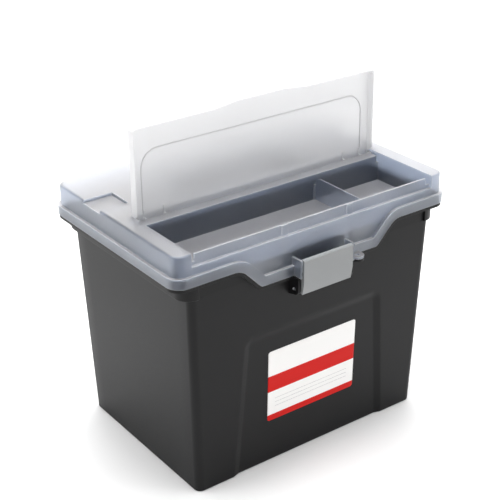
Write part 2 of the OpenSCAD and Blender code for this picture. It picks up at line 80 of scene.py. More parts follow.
def add_node(
    tree: bpy.types.NodeTree,
    kind: str,
    settings: dict[str, object] | None = None,
    links: dict[str, bpy.types.NodeSocket] | None = None,
) -> bpy.types.Node:
    """Adds one node with its settings and links.

    Args:
        tree: the node tree that gets the node.
        kind: the node's type name.
        settings: values by the name of an input, or of a property of the node.
        links: output sockets by the name, or the index as text, of the input they feed.

    Returns:
        The new node.
    """
    node = tree.nodes.new(kind)
    for key, value in (settings or {}).items():
        if key.isdigit():
            node.inputs[int(key)].default_value = value
        elif key in node.inputs:
            node.inputs[key].default_value = value
        else:
            setattr(node, key, value)
    for key, socket in (links or {}).items():
        tree.links.new(socket, node.inputs[int(key) if key.isdigit() else key])
    return node


def new_material(name: str) -> tuple[bpy.types.Material, bpy.types.NodeTree, bpy.types.Node]:
    """Makes a material that holds one output node.

    Args:
        name: what the material is.

    Returns:
        The material, its tree and its output node.
    """
    material = bpy.data.materials.new(name)
    material.use_nodes = True
    tree = material.node_tree
    tree.nodes.clear()
    return material, tree, add_node(tree, "ShaderNodeOutputMaterial")


# ---------- finishes ----------


@dataclass(frozen=True)
class MouldedPolypropylene:
    """Opaque injection-moulded polypropylene: a dull, faintly waxy skin with a fine spark-eroded grain.

    The grain takes the sharpness out of every reflection, so broad soft lights show as a
    pale bloom across a wall and edges catch one thin line.
    """

    name: str
    tone: str
    bloom: str
    roughness: float
    grain_mm: float = 0.9
    grain_depth_mm: float = 0.05
    grain_strength: float = 0.5
    cloud_mm: float = 60.0
    edge_mm: float = 0.7
    specular: float = 0.4

    def material(self) -> bpy.types.Material:
        """Builds the node material.

        Returns:
            The finished material.
        """
        material, tree, out = new_material(self.name)
        coords = add_node(tree, "ShaderNodeTexCoord")
        # flow of the melt: pale clouds that hardly show
        clouds = add_node(
            tree,
            "ShaderNodeTexNoise",
            {"Scale": 1.0 / (self.cloud_mm * MM), "Detail": 3.0, "Roughness": 0.5},
            {"Vector": coords.outputs["Object"]},
        )
        tint = add_node(
            tree,
            "ShaderNodeMix",
            {"data_type": "RGBA", "6": linear(self.tone), "7": linear(self.bloom)},
            {"0": clouds.outputs["Fac"]},
        )
        # the spark-eroded grain, drawn coarser than the real tenth of a millimetre so that it shows
        grain = add_node(
            tree,
            "ShaderNodeTexNoise",
            {"Scale": 1.0 / (self.grain_mm * MM), "Detail": 4.0, "Roughness": 0.65},
            {"Vector": coords.outputs["Object"]},
        )
        polish = add_node(
            tree,
            "ShaderNodeMapRange",
            {
                "From Min": 0.3,
                "From Max": 0.7,
                "To Min": self.roughness - 0.05,
                "To Max": self.roughness + 0.06,
            },
            {"Value": grain.outputs["Fac"]},
        )
        edges = add_node(tree, "ShaderNodeBevel", {"samples": 6, "Radius": self.edge_mm * MM})
        bump = add_node(
            tree,
            "ShaderNodeBump",
            {"Strength": self.grain_strength, "Distance": self.grain_depth_mm * MM},
            {"Height": grain.outputs["Fac"], "Normal": edges.outputs["Normal"]},
        )
        skin = add_node(
            tree,
            "ShaderNodeBsdfPrincipled",
            {"IOR": POLYPROPYLENE_IOR, "Specular IOR Level": self.specular},
            {
                "Base Color": tint.outputs[2],
                "Roughness": polish.outputs["Result"],
                "Normal": bump.outputs["Normal"],
            },
        )
        tree.links.new(skin.outputs["BSDF"], out.inputs["Surface"])
        return material


@dataclass(frozen=True)
class FrostedPolypropylene:
    """Natural polypropylene, moulded without pigment: milky, bluish in depth and clear close up.

    What lies against it shows through, and what stands further off blurs to a tone. Rims and
    ribs are painted paler and milkier than the walls as a painted highlight. Faces that lie level
    are painted paler and milkier too, as painted light from above. Milk is the share of light
    that the plastic scatters, and opacity the share that doesn't pass straight through.
    Roughness is kept above 0.28 all over, because a clearer finish renders as speckle.
    """

    name: str
    tone: str
    # painted highlight on edges: the rim colour and the rim milk make rims paler and milkier than the
    # walls
    rim_highlight_tone: str
    # painted top light: the level-face colour and milk make level faces paler and milkier than the walls
    lit_top_tone: str
    milk: float
    rim_highlight_milk: float
    lit_top_milk: float
    roughness: float
    opacity: float
    rim_mm: float = 0.7
    rim_starts: float = 0.995
    rim_full: float = 0.85
    lit_top_starts: float = 0.75
    lit_top_full: float = 0.97
    wave_mm: float = 45.0
    frost_mm: float = 1.1
    frost_depth_mm: float = 0.03
    frost_strength: float = 0.05

    def material(self) -> bpy.types.Material:
        """Builds the node material.

        Returns:
            The finished material.
        """
        material, tree, out = new_material(self.name)
        coords = add_node(tree, "ShaderNodeTexCoord")
        # the frost left by a sand-blasted mould, drawn about ten times coarser so that it shows
        frost = add_node(
            tree,
            "ShaderNodeTexNoise",
            {"Scale": 1.0 / (self.frost_mm * MM), "Detail": 3.0, "Roughness": 0.6},
            {"Vector": coords.outputs["Object"]},
        )
        # slow waves of thickness
        waves = add_node(
            tree,
            "ShaderNodeTexNoise",
            {"Scale": 1.0 / (self.wave_mm * MM), "Detail": 2.0, "Roughness": 0.4},
            {"Vector": coords.outputs["Object"]},
        )
        polish = add_node(
            tree,
            "ShaderNodeMapRange",
            {
                "From Min": 0.3,
                "From Max": 0.7,
                "To Min": self.roughness - 0.02,
                "To Max": self.roughness + 0.04,
            },
            {"Value": waves.outputs["Fac"]},
        )
        # painted highlight: a rim is where the rounded normal parts from the flat one, and there the
        # colour is painted paler and milkier
        edges = add_node(tree, "ShaderNodeBevel", {"samples": 6, "Radius": self.rim_mm * MM})
        flat = add_node(tree, "ShaderNodeNewGeometry")
        likeness = add_node(
            tree,
            "ShaderNodeVectorMath",
            {"operation": "DOT_PRODUCT"},
            {"0": edges.outputs["Normal"], "1": flat.outputs["Normal"]},
        )
        rim = add_node(
            tree,
            "ShaderNodeMapRange",
            {"From Min": self.rim_starts, "From Max": self.rim_full},
            {"Value": likeness.outputs["Value"]},
        )
        # painted light from above: faces that lie level, up or down in the part's own frame, are painted
        # paler and milkier than the walls
        facing = add_node(tree, "ShaderNodeSeparateXYZ", {}, {"Vector": coords.outputs["Normal"]})
        level = add_node(tree, "ShaderNodeMath", {"operation": "ABSOLUTE"}, {"0": facing.outputs["Z"]})
        lit_top_mask = add_node(
            tree,
            "ShaderNodeMapRange",
            {"From Min": self.lit_top_starts, "From Max": self.lit_top_full},
            {"Value": level.outputs[0]},
        )
        # painted top light: level faces take the paler level-face colour and milk
        tone_with_top_light = add_node(
            tree,
            "ShaderNodeMix",
            {"data_type": "RGBA", "6": linear(self.tone), "7": linear(self.lit_top_tone)},
            {"0": lit_top_mask.outputs["Result"]},
        )
        clearness_with_top_light = add_node(
            tree,
            "ShaderNodeMapRange",
            {"To Min": 1.0 - self.milk, "To Max": 1.0 - self.lit_top_milk},
            {"Value": lit_top_mask.outputs["Result"]},
        )
        # painted highlight: rims take the paler rim colour and the rim milk in place of the wall's
        tint = add_node(
            tree,
            "ShaderNodeMix",
            {"data_type": "RGBA", "7": linear(self.rim_highlight_tone)},
            {"0": rim.outputs["Result"], "6": tone_with_top_light.outputs[2]},
        )
        clearness = add_node(
            tree,
            "ShaderNodeMix",
            {"data_type": "FLOAT", "3": 1.0 - self.rim_highlight_milk},
            {"0": rim.outputs["Result"], "2": clearness_with_top_light.outputs["Result"]},
        )
        bump = add_node(
            tree,
            "ShaderNodeBump",
            {"Strength": self.frost_strength, "Distance": self.frost_depth_mm * MM},
            {"Height": frost.outputs["Fac"]},
        )
        skin = add_node(
            tree,
            "ShaderNodeBsdfPrincipled",
            {"IOR": POLYPROPYLENE_IOR, "Alpha": self.opacity},
            {
                "Base Color": tint.outputs[2],
                "Transmission Weight": clearness.outputs["Result"],
                "Roughness": polish.outputs["Result"],
                "Normal": bump.outputs["Normal"],
            },
        )
        tree.links.new(skin.outputs["BSDF"], out.inputs["Surface"])
        return material


@dataclass(frozen=True)
class ZincPlatedSteel:
    """Zinc-plated wire for hinge pins: bright, a little blue, with fine rings left by drawing."""

    name: str
    tone: str = "#C9CCD0"
    roughness: float = 0.28
    ring_mm: float = 0.5

    def material(self) -> bpy.types.Material:
        """Builds the node material.

        Returns:
            The finished material.
        """
        material, tree, out = new_material(self.name)
        coords = add_node(tree, "ShaderNodeTexCoord")
        rings = add_node(
            tree,
            "ShaderNodeTexWave",
            {"bands_direction": "X", "Scale": 0.3 / (self.ring_mm * MM), "Distortion": 1.5, "Detail": 2.0},
            {"Vector": coords.outputs["Object"]},
        )
        polish = add_node(
            tree,
            "ShaderNodeMapRange",
            {"To Min": self.roughness - 0.06, "To Max": self.roughness + 0.08},
            {"Value": rings.outputs["Fac"]},
        )
        skin = add_node(
            tree,
            "ShaderNodeBsdfPrincipled",
            {"Base Color": linear(self.tone), "Metallic": 1.0},
            {"Roughness": polish.outputs["Result"]},
        )
        tree.links.new(skin.outputs["BSDF"], out.inputs["Surface"])
        return material


@dataclass(frozen=True)
class PrintedLabelPaper:
    """Label paper, offset printed: a flat bright white and even ink, both with a dull satin face.

    Low and high are the heights of the label's lower and upper edge. The bands' and the ruled
    field's edges are shares of the way from one to the other.
    """

    name: str
    paper: str
    ink: str
    pencil: str
    low: float
    high: float
    foot_band: float = 0.085
    band: tuple[float, float] = (0.42, 0.645)
    ruled_field: tuple[float, float] = (0.14, 0.36)
    ruled_half_mm: float = 50.0
    rule_pitch_mm: float = 5.0
    rule_mm: float = 0.35

    def material(self) -> bpy.types.Material:
        """Builds the node material: two bands of ink and thin ruled lines, all level with the base.

        Returns:
            The finished material.
        """
        material, tree, out = new_material(self.name)
        coords = add_node(tree, "ShaderNodeTexCoord")
        axes = add_node(tree, "ShaderNodeSeparateXYZ", {}, {"Vector": coords.outputs["Object"]})
        up = add_node(
            tree,
            "ShaderNodeMapRange",
            {"From Min": self.low, "From Max": self.high},
            {"Value": axes.outputs["Z"]},
        )
        bands = add_node(tree, "ShaderNodeValToRGB", {}, {"Fac": up.outputs["Result"]})
        ramp = bands.color_ramp
        ramp.interpolation = "CONSTANT"
        ramp.elements[0].color = linear(self.ink)
        ramp.elements[1].position = self.foot_band
        ramp.elements[1].color = linear(self.paper)
        for place, tone in zip(self.band, (self.ink, self.paper)):
            ramp.elements.new(place).color = linear(tone)
        # ruled lines at an even pitch, on the lower white field and only between its margins
        phase = add_node(
            tree,
            "ShaderNodeMath",
            {"operation": "MODULO", "1": self.rule_pitch_mm * MM},
            {"0": axes.outputs["Z"]},
        )
        side = add_node(tree, "ShaderNodeMath", {"operation": "ABSOLUTE"}, {"0": axes.outputs["X"]})
        low, high = self.ruled_field
        tests = [
            add_node(tree, "ShaderNodeMath", {"operation": operation, "1": limit}, {"0": socket})
            for operation, limit, socket in (
                ("LESS_THAN", self.rule_mm * MM, phase.outputs[0]),
                ("GREATER_THAN", low, up.outputs["Result"]),
                ("LESS_THAN", high, up.outputs["Result"]),
                ("LESS_THAN", self.ruled_half_mm * MM, side.outputs[0]),
            )
        ]
        mask = tests[0]
        for test in tests[1:]:
            mask = add_node(
                tree,
                "ShaderNodeMath",
                {"operation": "MULTIPLY"},
                {"0": mask.outputs[0], "1": test.outputs[0]},
            )
        print_tone = add_node(
            tree,
            "ShaderNodeMix",
            {"data_type": "RGBA", "7": linear(self.pencil)},
            {"0": mask.outputs[0], "6": bands.outputs["Color"]},
        )
        skin = add_node(
            tree,
            "ShaderNodeBsdfPrincipled",
            {"Roughness": 0.45, "Specular IOR Level": 0.15},
            {"Base Color": print_tone.outputs[2]},
        )
        tree.links.new(skin.outputs["BSDF"], out.inputs["Surface"])
        return material


@dataclass(frozen=True)
class StudioPaper:
    """Seamless background paper: matt, white and without a grain that shows."""

    name: str
    tone: str

    def material(self) -> bpy.types.Material:
        """Builds the node material.

        Returns:
            The finished material.
        """
        material, tree, out = new_material(self.name)
        skin = add_node(tree, "ShaderNodeBsdfDiffuse", {"Color": linear(self.tone)})
        tree.links.new(skin.outputs["BSDF"], out.inputs["Surface"])
        return material


class Slot(Enum):
    """The record's material slots."""

    TUB = "tub_black"
    FROSTED = "frosted"
    GREY = "light_grey"
    STEEL = "pin_steel"
    PAPER = "label_paper"


# ---------- meshes ----------


def dress(piece: bpy.types.Object, material: bpy.types.Material, body: str) -> bpy.types.Object:
    """Gives a piece its finish and the body that it rides on.

    Args:
        piece: the object, with its place in its mesh.
        material: its only material.
        body: the CAD body that carries it.

    Returns:
        The same object.
    """
    piece.data.materials.clear()
    piece.data.materials.append(material)
    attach(piece, body)
    LOG.info("%s: %d faces, on %s", piece.name, len(piece.data.polygons), body)
    return piece


def add_piece(name: str, mesh: bpy.types.Mesh) -> bpy.types.Object:
    """Puts a mesh into the scene as an object at the origin.

    Args:
        name: the object's name.
        mesh: its mesh.

    Returns:
        The new object.
    """
    piece = bpy.data.objects.new(name, mesh)
    bpy.context.scene.collection.objects.link(piece)
    return piece


def merged_copy(node: str, name: str, crease_deg: float = 32.0) -> bpy.types.Object:
    """Copies a CAD node's mesh, welds its loose triangles and shades it by angle.

    Args:
        node: the CAD node.
        name: the new piece's name.
        crease_deg: edges that turn by more than this stay sharp.

    Returns:
        The new object, at the origin.
    """
    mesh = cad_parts[node].data.copy()
    mesh.name = name
    shape = bmesh.new()
    shape.from_mesh(mesh)
    bmesh.ops.remove_doubles(shape, verts=shape.verts, dist=WELD)
    bmesh.ops.dissolve_limit(
        shape, angle_limit=math.radians(FLAT_DEG), verts=shape.verts, edges=shape.edges
    )
    shape.to_mesh(mesh)
    shape.free()
    imported_normals = mesh.attributes.get("custom_normal")
    if imported_normals:
        mesh.attributes.remove(imported_normals)
    mesh.shade_smooth()
    mesh.set_sharp_from_angle(angle=math.radians(crease_deg))
    piece = add_piece(name, mesh)
    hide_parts(node)
    return piece


def level_faces(piece: bpy.types.Object) -> None:
    """Keeps broad flat faces flat in the shading, with a Weighted Normal modifier.

    Args:
        piece: the object.
    """
    level = piece.modifiers.new("flat faces", "WEIGHTED_NORMAL")
    level.mode = "FACE_AREA"
    level.weight = 50
    level.keep_sharp = True


def round_edges(
    piece: bpy.types.Object, radius: float, segments: int = 3, angle_deg: float = 35.0
) -> None:
    """Rounds a piece's sharp edges with a Bevel modifier.

    Args:
        piece: the object.
        radius: the rounding's radius.
        segments: steps across the rounding.
        angle_deg: edges that turn by less than this are left.
    """
    bevel = piece.modifiers.new("moulded edges", "BEVEL")
    bevel.width = radius
    bevel.segments = segments
    bevel.limit_method = "ANGLE"
    bevel.angle_limit = math.radians(angle_deg)
    bevel.harden_normals = True


def grid_mesh(
    name: str,
    points: np.ndarray,
    wrap: bool = False,
    close_first: bool = False,
    close_last: bool = False,
) -> bpy.types.Object:
    """Joins a grid of points into a surface of quads.

    The faces join row i to row i + 1 and column j to column j + 1, and with wrap the last
    column to the first.

    Args:
        name: the piece's name.
        points: an array of rows, columns and 3 coordinates.
        wrap: whether the columns run round a closed loop.
        close_first: whether one face closes the first row.
        close_last: whether one face closes the last row.

    Returns:
        The new object, at the origin.
    """
    rows, cols = points.shape[:2]
    index = np.arange(rows * cols).reshape(rows, cols)
    right = np.roll(index, -1, axis=1)
    if not wrap:
        index, right = index[:, :-1], right[:, :-1]
    quads = np.stack([index[:-1], right[:-1], right[1:], index[1:]], axis=-1).reshape(-1, 4)
    faces = quads.tolist()
    if close_first:
        faces.append(np.arange(cols)[::-1].tolist())
    if close_last:
        faces.append((np.arange(cols) + (rows - 1) * cols).tolist())
    mesh = bpy.data.meshes.new(name)
    mesh.from_pydata(points.reshape(-1, 3).tolist(), [], faces)
    mesh.validate()
    shape = bmesh.new()
    shape.from_mesh(mesh)
    bmesh.ops.remove_doubles(shape, verts=shape.verts, dist=SAME_POINT)
    bmesh.ops.recalc_face_normals(shape, faces=shape.faces)
    shape.to_mesh(mesh)
    shape.free()
    mesh.shade_smooth()
    mesh.set_sharp_from_angle(angle=math.radians(GRID_CREASE_DEG))
    return add_piece(name, mesh)


def sweep(
    name: str, path: np.ndarray, outward: np.ndarray, profile: np.ndarray, up: np.ndarray
) -> bpy.types.Object:
    """Carries a closed profile along an open path and closes its two ends.

    Each point is the path's point, plus the profile's first coordinate times the path's outward
    direction there, plus its second coordinate times up.

    Args:
        name: the piece's name.
        path: points of the path, n by 3.
        outward: unit vectors square to the path, n by 3.
        profile: the profile's corners, m by 2.
        up: the profile's second direction, a unit vector.

    Returns:
        The new object, at the origin.
    """
    points = (
        path[:, None, :]
        + outward[:, None, :] * profile[None, :, :1]
        + up[None, None, :] * profile[None, :, 1:]
    )
    return grid_mesh(name, points, wrap=True, close_first=True, close_last=True)


def arc(start_deg: float, end_deg: float, steps: int) -> np.ndarray:
    """Works out the unit vectors of an arc.

    Args:
        start_deg: the first angle.
        end_deg: the last angle.
        steps: how many vectors.

    Returns:
        Cosines and sines, steps by 2.
    """
    t = np.radians(np.linspace(start_deg, end_deg, steps))
    return np.stack([np.cos(t), np.sin(t)], axis=1)


def rod_with_dished_ends(name: str, node: str, dish: float, steps: int) -> bpy.types.Object:
    """Makes a round pin along X with dished ends, as long and as thick as a CAD pin.

    At each end a ring lies dish * (1 - sin(t)) inside the pin's tip and has the radius
    r * sqrt(sin(t)). From the inmost ring to the rim, t runs from 0.02 to a quarter turn.

    Args:
        name: the piece's name.
        node: the CAD pin.
        dish: how deep each end is hollowed.
        steps: points round the pin.

    Returns:
        The new object, at the origin.
    """
    low, high = (np.array(v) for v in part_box(node))
    mid, r = (low + high) / 2, (high[2] - low[2]) / 2
    t = np.linspace(0.02, math.pi / 2, 8)
    depth, share = dish * (1 - np.sin(t)), np.sqrt(np.sin(t))
    reach = np.concatenate([low[0] + depth, high[0] - depth[::-1]])
    radius = r * np.concatenate([share, share[::-1]])
    turn = np.linspace(0, 2 * math.pi, steps, endpoint=False)
    points = np.empty((len(reach), steps, 3))
    points[..., 0] = reach[:, None]
    points[..., 1] = mid[1] + radius[:, None] * np.cos(turn)
    points[..., 2] = mid[2] + radius[:, None] * np.sin(turn)
    piece = grid_mesh(name, points, wrap=True, close_first=True, close_last=True)
    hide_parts(node)
    return piece


# ---------- sub-assemblies ----------


@dataclass
class Tub:
    """The tub: one black moulding.

    Its inside, rim and lugs are the CAD node's. Its outer wall up to the hand step is worked out
    afresh, with the tighter corners, and so is the sharp lower edge of the hand step at each end.
    The wall and the inside are open sheets that meet behind the hand step.
    """

    half_l: float = 152.4 * MM
    half_w: float = 107.6 * MM
    lean: float = 7.4 * MM
    wall_h: float = 237 * MM
    wall_t: float = 2.5 * MM
    corner_r: float = 8 * MM
    foot_r: float = 1.6 * MM
    rows: int = 110
    front_columns: int = 230
    side_columns: int = 12
    corner_columns: int = 9
    recess_foot: float = 105.5 * MM
    recess_head: float = 92 * MM
    recess_h: float = 169 * MM
    recess_d: float = 2.6 * MM
    recess_border: float = 8 * MM
    recess_r: float = 12 * MM
    rim_z: float = 255 * MM
    rim_lap: float = 3.2 * MM
    dip: float = 25.6 * MM
    dip_half: float = 76.8 * MM
    dip_slope_deg: float = 46.0
    step_half_l: float = 168.15 * MM
    step_half_w: float = 117.4 * MM
    step_r: float = 17 * MM
    step_top: float = 251.2 * MM
    step_end: float = 150 * MM
    step_inset: float = 9 * MM
    step_lap: float = 0.4 * MM
    step_edge_r: float = 0.7 * MM
    tolerance: float = 0.3 * MM

    def build(self) -> list[bpy.types.Object]:
        """Makes the tub's pieces.

        Returns:
            The pieces.
        """
        skin = MouldedPolypropylene(
            "Black polypropylene, fine spark-eroded grain", "#111112", "#151516", 0.42, specular=0.2
        ).material()
        inside = merged_copy("tub", "tub_rim_and_inside")
        self.strip_outer_wall(inside)
        level_faces(inside)
        pieces = [inside, self.outer_wall(), self.hand_step("left", -1), self.hand_step("right", 1)]
        for piece in pieces:
            dress(piece, skin, "tub")
        return pieces

    def strip_outer_wall(self, piece: bpy.types.Object) -> None:
        """Removes the CAD's outer wall below the hand step, which outer_wall() makes afresh.

        Args:
            piece: the merged copy of the CAD tub.
        """
        shape = bmesh.new()
        shape.from_mesh(piece.data)
        bmesh.ops.bisect_plane(
            shape,
            geom=list(shape.verts) + list(shape.edges) + list(shape.faces),
            plane_co=(0, 0, self.wall_h),
            plane_no=(0, 0, 1),
        )
        doomed = [face for face in shape.faces if self.is_outer(face)]
        bmesh.ops.delete(shape, geom=doomed, context="FACES")
        shape.to_mesh(piece.data)
        shape.free()

    def is_outer(self, face: bmesh.types.BMFace) -> bool:
        """Tells whether a face of the CAD tub is on the outer wall below the hand step.

        It is if it looks outwards from less than half a wall's thickness inside the leaning
        outline, or is in the front recess or the base.

        Args:
            face: a face that doesn't cross the plane at wall_h.

        Returns:
            Whether the face goes.
        """
        if max(v.co.z for v in face.verts) > self.wall_h + 0.1 * MM:
            return False
        middle, normal = face.calc_center_median(), face.normal
        lean = self.lean * middle.z / self.wall_h
        from_front = self.half_w + lean + middle.y
        depth = min(self.half_l + lean - abs(middle.x), self.half_w + lean - abs(middle.y))
        looks_out = normal.x * middle.x + normal.y * middle.y > 0
        in_wall = looks_out and -self.tolerance < depth < self.wall_t / 2
        in_recess = (
            normal.y < -0.5
            and -self.tolerance < from_front < self.recess_d + self.wall_t / 2
            and middle.z < self.recess_h + self.recess_r
        )
        in_base = normal.z < -0.3 and middle.z < self.foot_r
        return in_wall or in_recess or in_base

    def outline(self) -> np.ndarray:
        """Works out the columns of the outer wall, anticlockwise from the front's left corner.

        Returns:
            A row for each column: its place along x and y, each a share of the half size from -1
            to 1, and its outward direction.
        """
        front = np.linspace(-1, 1, self.front_columns)
        side = np.linspace(-1, 1, self.side_columns + 2)[1:-1]
        rows = []
        for quarter, shares in enumerate((front, side, side, side)):
            start = 90 * quarter
            facing, onward = arc(start - 90, start, 2)
            place = facing + shares[:, None] * onward
            rows.append(np.column_stack([place, np.tile(facing, (len(place), 1))]))
            bend = arc(start - 90, start, self.corner_columns + 1)
            # the front's own columns reach its corners, so its bend starts one step later
            bend = bend[1:] if quarter == 0 else bend[:-1]
            rows.append(np.column_stack([np.tile(facing + onward, (len(bend), 1)), bend]))
        return np.concatenate(rows)

    def outer_wall(self) -> bpy.types.Object:
        """Makes the outer wall with the front recess.

        A column is a place round a rounded rectangle, a row a share of the height. The rectangle
        grows by lean * z / wall_h, and near the floor it draws in by a quarter circle of foot_r.
        In front the wall stops inside the rim's flange, which dips round the latch. The recess
        sinks the front by recess_d * s, where s rises from 0 to 1 over recess_border from the
        recess's outline, whose corners are rounded.

        Returns:
            The new object.
        """
        along, back, out_x, out_y = self.outline().T
        on_front = np.arange(len(along)) < self.front_columns
        low_rim = self.rim_z - self.dip
        reach = np.abs(along) * (self.half_l + self.lean)
        climb = (reach - self.dip_half) * math.tan(math.radians(self.dip_slope_deg))
        rim = np.clip(low_rim + climb, low_rim, self.rim_z)
        top = np.where(on_front, np.minimum(self.wall_h, rim - self.rim_lap), self.wall_h)
        foot = self.foot_r * (1 - np.cos(np.linspace(0, math.pi / 2, 6)))
        share = np.linspace(0, 1, self.rows)[1:]
        z = np.concatenate([
            np.repeat(foot[:, None], len(top), axis=1),
            self.foot_r + share[:, None] * (top - self.foot_r)[None, :],
        ])
        below = np.clip(self.foot_r - z, 0, None)
        draw_in = self.foot_r - np.sqrt(np.clip(self.foot_r**2 - below**2, 0, None))
        grow = self.lean * z / self.wall_h - draw_in
        points = np.empty((*z.shape, 3))
        points[..., 0] = along * (self.half_l + grow - self.corner_r) + out_x * self.corner_r
        points[..., 1] = back * (self.half_w + grow - self.corner_r) + out_y * self.corner_r
        points[..., 2] = z
        half = self.recess_foot + (self.recess_head - self.recess_foot) * z / self.recess_h
        short_x = np.clip(self.recess_r - half + np.abs(points[..., 0]), 0, None)
        short_z = np.clip(self.recess_r - self.recess_h + z, 0, None)
        inside = self.recess_r - np.hypot(short_x, short_z)
        sunk = self.recess_d * np.clip(inside / self.recess_border, 0, 1)
        points[..., 1] += np.where(on_front, sunk, 0)
        return grid_mesh("tub_outer_wall", points, wrap=True, close_first=True)

    def hand_step(self, which: str, side: int) -> bpy.types.Object:
        """Makes the step that hands lift one end by: sharp below, and wrapped round both corners.

        Args:
            which: the end's name.
            side: -1 for the left end, 1 for the right end.

        Returns:
            The new object.
        """
        r = self.step_r
        middle = np.array([self.step_half_l - r, self.step_half_w - r])
        front, rear = arc(-90, 0, 14), arc(0, 90, 14)
        ends = np.array([[self.step_end, -self.step_half_w], [self.step_end, self.step_half_w]])
        path = np.concatenate([ends[:1], middle * (1, -1) + r * front, middle + r * rear, ends[1:]])
        out = np.concatenate([[[0, -1]], front, rear, [[0, 1]]])
        path, out = (np.column_stack([flat * (side, 1), np.zeros(len(flat))]) for flat in (path, out))
        low, high, edge = self.wall_h - self.step_lap, self.step_top, self.step_edge_r
        bend = arc(-90, 0, 5) * edge + (-edge, low + edge)
        profile = np.concatenate([[[-self.step_inset, low]], bend, [[0, high], [-self.step_inset, high]]])
        return sweep(f"tub_hand_step_{which}", path, out, profile, np.array([0.0, 0.0, 1.0]))


@dataclass
class Lid:
    """The frosted lid with its tray, and the divider that stands in it."""

    def build(self) -> list[bpy.types.Object]:
        """Makes the lid's and the divider's pieces.

        Returns:
            The pieces.
        """
        # the rim colour is a painted highlight on edges, and the level-face colour is painted light from
        # above
        skin = FrostedPolypropylene(
            "Natural polypropylene, frosted lid",
            tone="#B8C3D6",
            rim_highlight_tone="#FAFBFD",
            lit_top_tone="#E4E3E6",
            milk=0.11,
            rim_highlight_milk=0.92,
            lit_top_milk=0.2,
            roughness=0.31,
            opacity=0.7,
        ).material()
        moulding = merged_copy("lid", "lid_moulding")
        level_faces(moulding)
        shell = dress(moulding, skin, "lid")
        divider = merged_copy("tray_divider", "tray_divider_plate")
        round_edges(divider, 0.4 * MM)
        return [shell, dress(divider, skin, "lid")]


@dataclass
class TrayCover:
    """The frosted cover of the tray, with the raised line round its sunk panel."""

    panel_half: float = 144.9 * MM
    panel_foot: float = 286 * MM
    panel_head: float = 357.4 * MM
    panel_r: float = 20 * MM
    inner_face: float = -11.4 * MM
    line_w: float = 1.5 * MM
    line_h: float = 0.5 * MM

    def build(self) -> list[bpy.types.Object]:
        """Makes the cover's pieces.

        Returns:
            The pieces.
        """
        # the rim colour is a painted highlight on edges; the level-face colour and milk are the same as
        # the walls' here
        skin = FrostedPolypropylene(
            "Natural polypropylene, frosted cover",
            tone="#F9F9FA",
            rim_highlight_tone="#FCFCFC",
            lit_top_tone="#F9F9FA",
            milk=0.55,
            rim_highlight_milk=0.92,
            lit_top_milk=0.55,
            roughness=0.31,
            opacity=0.86,
        ).material()
        moulding = merged_copy("tray_cover", "tray_cover_moulding")
        level_faces(moulding)
        pieces = [moulding, self.panel_line()]
        for piece in pieces:
            dress(piece, skin, "cover")
        return pieces

    def panel_line(self) -> bpy.types.Object:
        """Makes the raised line: an ellipse, sunk by half, carried round the panel's sides and top.

        Returns:
            The new object.
        """
        r = self.panel_r
        left, right = arc(180, 90, 16), arc(90, 0, 16)
        middle = np.array([self.panel_half - r, self.panel_head - r])
        flat = np.concatenate([
            [[-self.panel_half, self.panel_foot]], middle * (-1, 1) + r * left, middle + r * right,
            [[self.panel_half, self.panel_foot]],
        ])
        out = np.concatenate([[[-1, 0]], left, right, [[1, 0]]])
        path = np.column_stack([flat[:, 0], np.full(len(flat), self.inner_face), flat[:, 1]])
        outward = np.column_stack([out[:, 0], np.zeros(len(out)), out[:, 1]])
        ring = arc(0, 360, 13)[:-1] * (self.line_w / 2, self.line_h)
        return sweep("tray_cover_panel_line", path, outward, ring, np.array([0.0, -1.0, 0.0]))


@dataclass
class Latch:
    """The snap latch and its pin."""

    pin_dish: float = 0.5 * MM
    steps: int = 48

    def build(self) -> list[bpy.types.Object]:
        """Makes the latch's pieces.

        Returns:
            The pieces.
        """
        grey = MouldedPolypropylene(
            "Light grey polypropylene, satin", "#8A8C8D", "#939596", 0.42, edge_mm=0.4
        ).material()
        plate = merged_copy("latch", "latch_plate")
        round_edges(plate, 0.45 * MM)
        pin = rod_with_dished_ends("latch_pin_rod", "latch_pin", self.pin_dish, self.steps)
        steel = ZincPlatedSteel("Zinc-plated steel latch pin").material()
        return [dress(plate, grey, "latch"), dress(pin, steel, "tub")]


@dataclass
class Handle:
    """The fold-down handle in the lid's rear half."""

    def build(self) -> list[bpy.types.Object]:
        """Makes the handle's pieces.

        Returns:
            The pieces.
        """
        grey = MouldedPolypropylene(
            "Light grey polypropylene, handle", "#8A8C8D", "#939596", 0.45, edge_mm=1.2
        ).material()
        bar = merged_copy("carrying_handle", "handle_moulding")
        return [dress(bar, grey, "handle")]


@dataclass
class RearHinges:
    """The two pins that the lid turns on."""

    dish: float = 0.6 * MM
    steps: int = 40

    def build(self) -> list[bpy.types.Object]:
        """Makes the two hinge pins.

        Returns:
            The pieces.
        """
        steel = ZincPlatedSteel("Zinc-plated steel hinge pin").material()
        pins = []
        for side in ("left", "right"):
            node = f"hinge_pin_{side}"
            pin = rod_with_dished_ends(f"{node}_rod", node, self.dish, self.steps)
            pins.append(dress(pin, steel, "tub"))
        return pins


